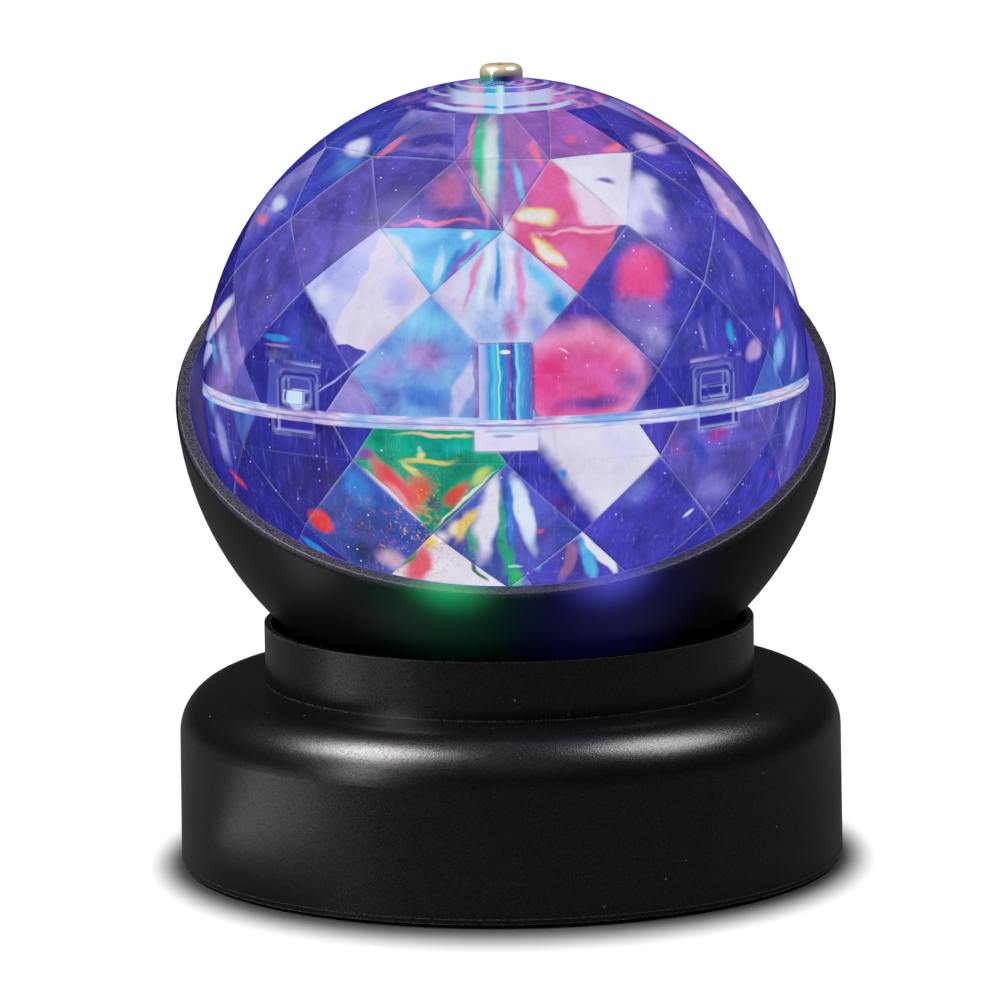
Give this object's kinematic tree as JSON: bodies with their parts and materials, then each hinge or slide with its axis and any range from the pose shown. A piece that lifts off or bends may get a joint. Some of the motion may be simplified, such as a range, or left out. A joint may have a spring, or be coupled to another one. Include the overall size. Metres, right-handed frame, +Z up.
{
  "type": "kaleidoscope lamp",
  "caption": "Table lamp with a clear faceted ball that turns in a tilted black bowl on a round base with cells, motor, gears and coloured lights.",
  "frame": {"origin": "centre of the base on the surface that it stands on", "axes": "+Z up along the ball's spin axis, -Y the front, where the bowl's rim is low"},
  "size_m": [0.13, 0.13, 0.1563],
  "materials": {
    "housing_plastic": "satin black moulded, fine grain",
    "bowl_plastic": "semi-gloss black moulded",
    "liner_plastic": "dark grey moulded, lit violet inside",
    "clear_plastic": "clear, polished",
    "rubber": "matte black",
    "screw_steel": "zinc plated",
    "top_screw_chrome": "nickel plated, warm tint",
    "shaft_steel": "ground",
    "bush_bronze": "sintered, oiled",
    "gear_nylon": "natural white",
    "gearbox_plastic": "natural white, moulded",
    "board_laminate": "green solder mask",
    "board_part": "black moulded",
    "motor_steel": "zinc plated, drawn",
    "motor_plastic": "black moulded",
    "magnet": "sintered ferrite",
    "armature_copper": "enamelled winding on a stack",
    "cell_jacket": "plain wrapped jacket",
    "contact_nickel": "nickel plated",
    "box_plastic": "black moulded",
    "switch_steel": "tin plated",
    "knob_plastic": "black moulded, ribbed",
    "light_red": "tinted clear, lit",
    "light_green": "tinted clear, lit",
    "light_blue": "tinted clear, lit"
  },
  "bodies": {
    "lamp_base": {"base_housing": "housing_plastic", "bottom_cover": "housing_plastic", "rubber_feet": "rubber", "cover_screws": "screw_steel", "neck_ring": "housing_plastic", "bowl_shell": "bowl_plastic", "bowl_liner": "liner_plastic", "bowl_screws": "screw_steel", "shaft_bush": "bush_bronze", "light_board": "board_laminate", "light_board_screws": "screw_steel", "red_lights": "light_red", "green_lights": "light_green", "blue_lights": "light_blue", "gearbox_case": "gearbox_plastic", "gearbox_lid": "gearbox_plastic", "gearbox_screws": "screw_steel", "gear_axles": "shaft_steel", "motor_can": "motor_steel", "motor_magnets": "magnet", "motor_end_cap": "motor_plastic", "motor_screws": "screw_steel", "battery_cell_1": "cell_jacket", "battery_cell_2": "cell_jacket", "battery_cell_3": "cell_jacket", "battery_springs": "contact_nickel", "contact_plates": "contact_nickel", "battery_box": "box_plastic", "battery_box_screws": "screw_steel", "control_board": "board_laminate", "board_parts": "board_part", "board_screws": "screw_steel", "switch_body": "switch_steel", "switch_screws": "screw_steel"},
    "ball": {"upper_shell": "clear_plastic", "lower_shell": "clear_plastic", "light_column": "clear_plastic", "top_screw": "top_screw_chrome", "thrust_washer": "shaft_steel", "drive_shaft": "shaft_steel", "output_gear": "gear_nylon"},
    "second_gear": {"second_gear": "gear_nylon"},
    "first_gear": {"first_gear": "gear_nylon"},
    "motor_rotor": {"motor_shaft": "shaft_steel", "motor_armature": "armature_copper", "motor_pinion": "bush_bronze"},
    "switch_knob": {"switch_knob": "knob_plastic"},
    "battery_door": {"battery_door": "housing_plastic"}
  },
  "joints": [
    {"name": "ball_spin", "type": "hinge", "parent": "lamp_base", "child": "ball", "pos_m": [0, 0, 0.09451], "axis": [0, 0, 1], "continuous": true},
    {"name": "second_gear_spin", "type": "hinge", "parent": "lamp_base", "child": "second_gear", "pos_m": [0.0075, 0.01299, 0.026], "axis": [0, 0, 1], "continuous": true},
    {"name": "first_gear_spin", "type": "hinge", "parent": "lamp_base", "child": "first_gear", "pos_m": [-0.00549, 0.02049, 0.026], "axis": [0, 0, 1], "continuous": true},
    {"name": "motor_spin", "type": "hinge", "parent": "lamp_base", "child": "motor_rotor", "pos_m": [-0.00549, 0.03549, 0.02], "axis": [0, 0, 1], "continuous": true},
    {"name": "switch_slide", "type": "slide", "parent": "lamp_base", "child": "switch_knob", "axis": [1, 0, 0], "range_m": [-0.004, 0]},
    {"name": "battery_door_hinge", "type": "hinge", "parent": "lamp_base", "child": "battery_door", "pos_m": [0, -0.0043, 0.0018], "axis": [1, 0, 0], "range_deg": [0, 90]}
  ],
  "couplings": [
    {"joint": "second_gear_spin", "follows": "ball_spin", "ratio": -4},
    {"joint": "first_gear_spin", "follows": "ball_spin", "ratio": 16},
    {"joint": "motor_spin", "follows": "ball_spin", "ratio": -64}
  ]
}
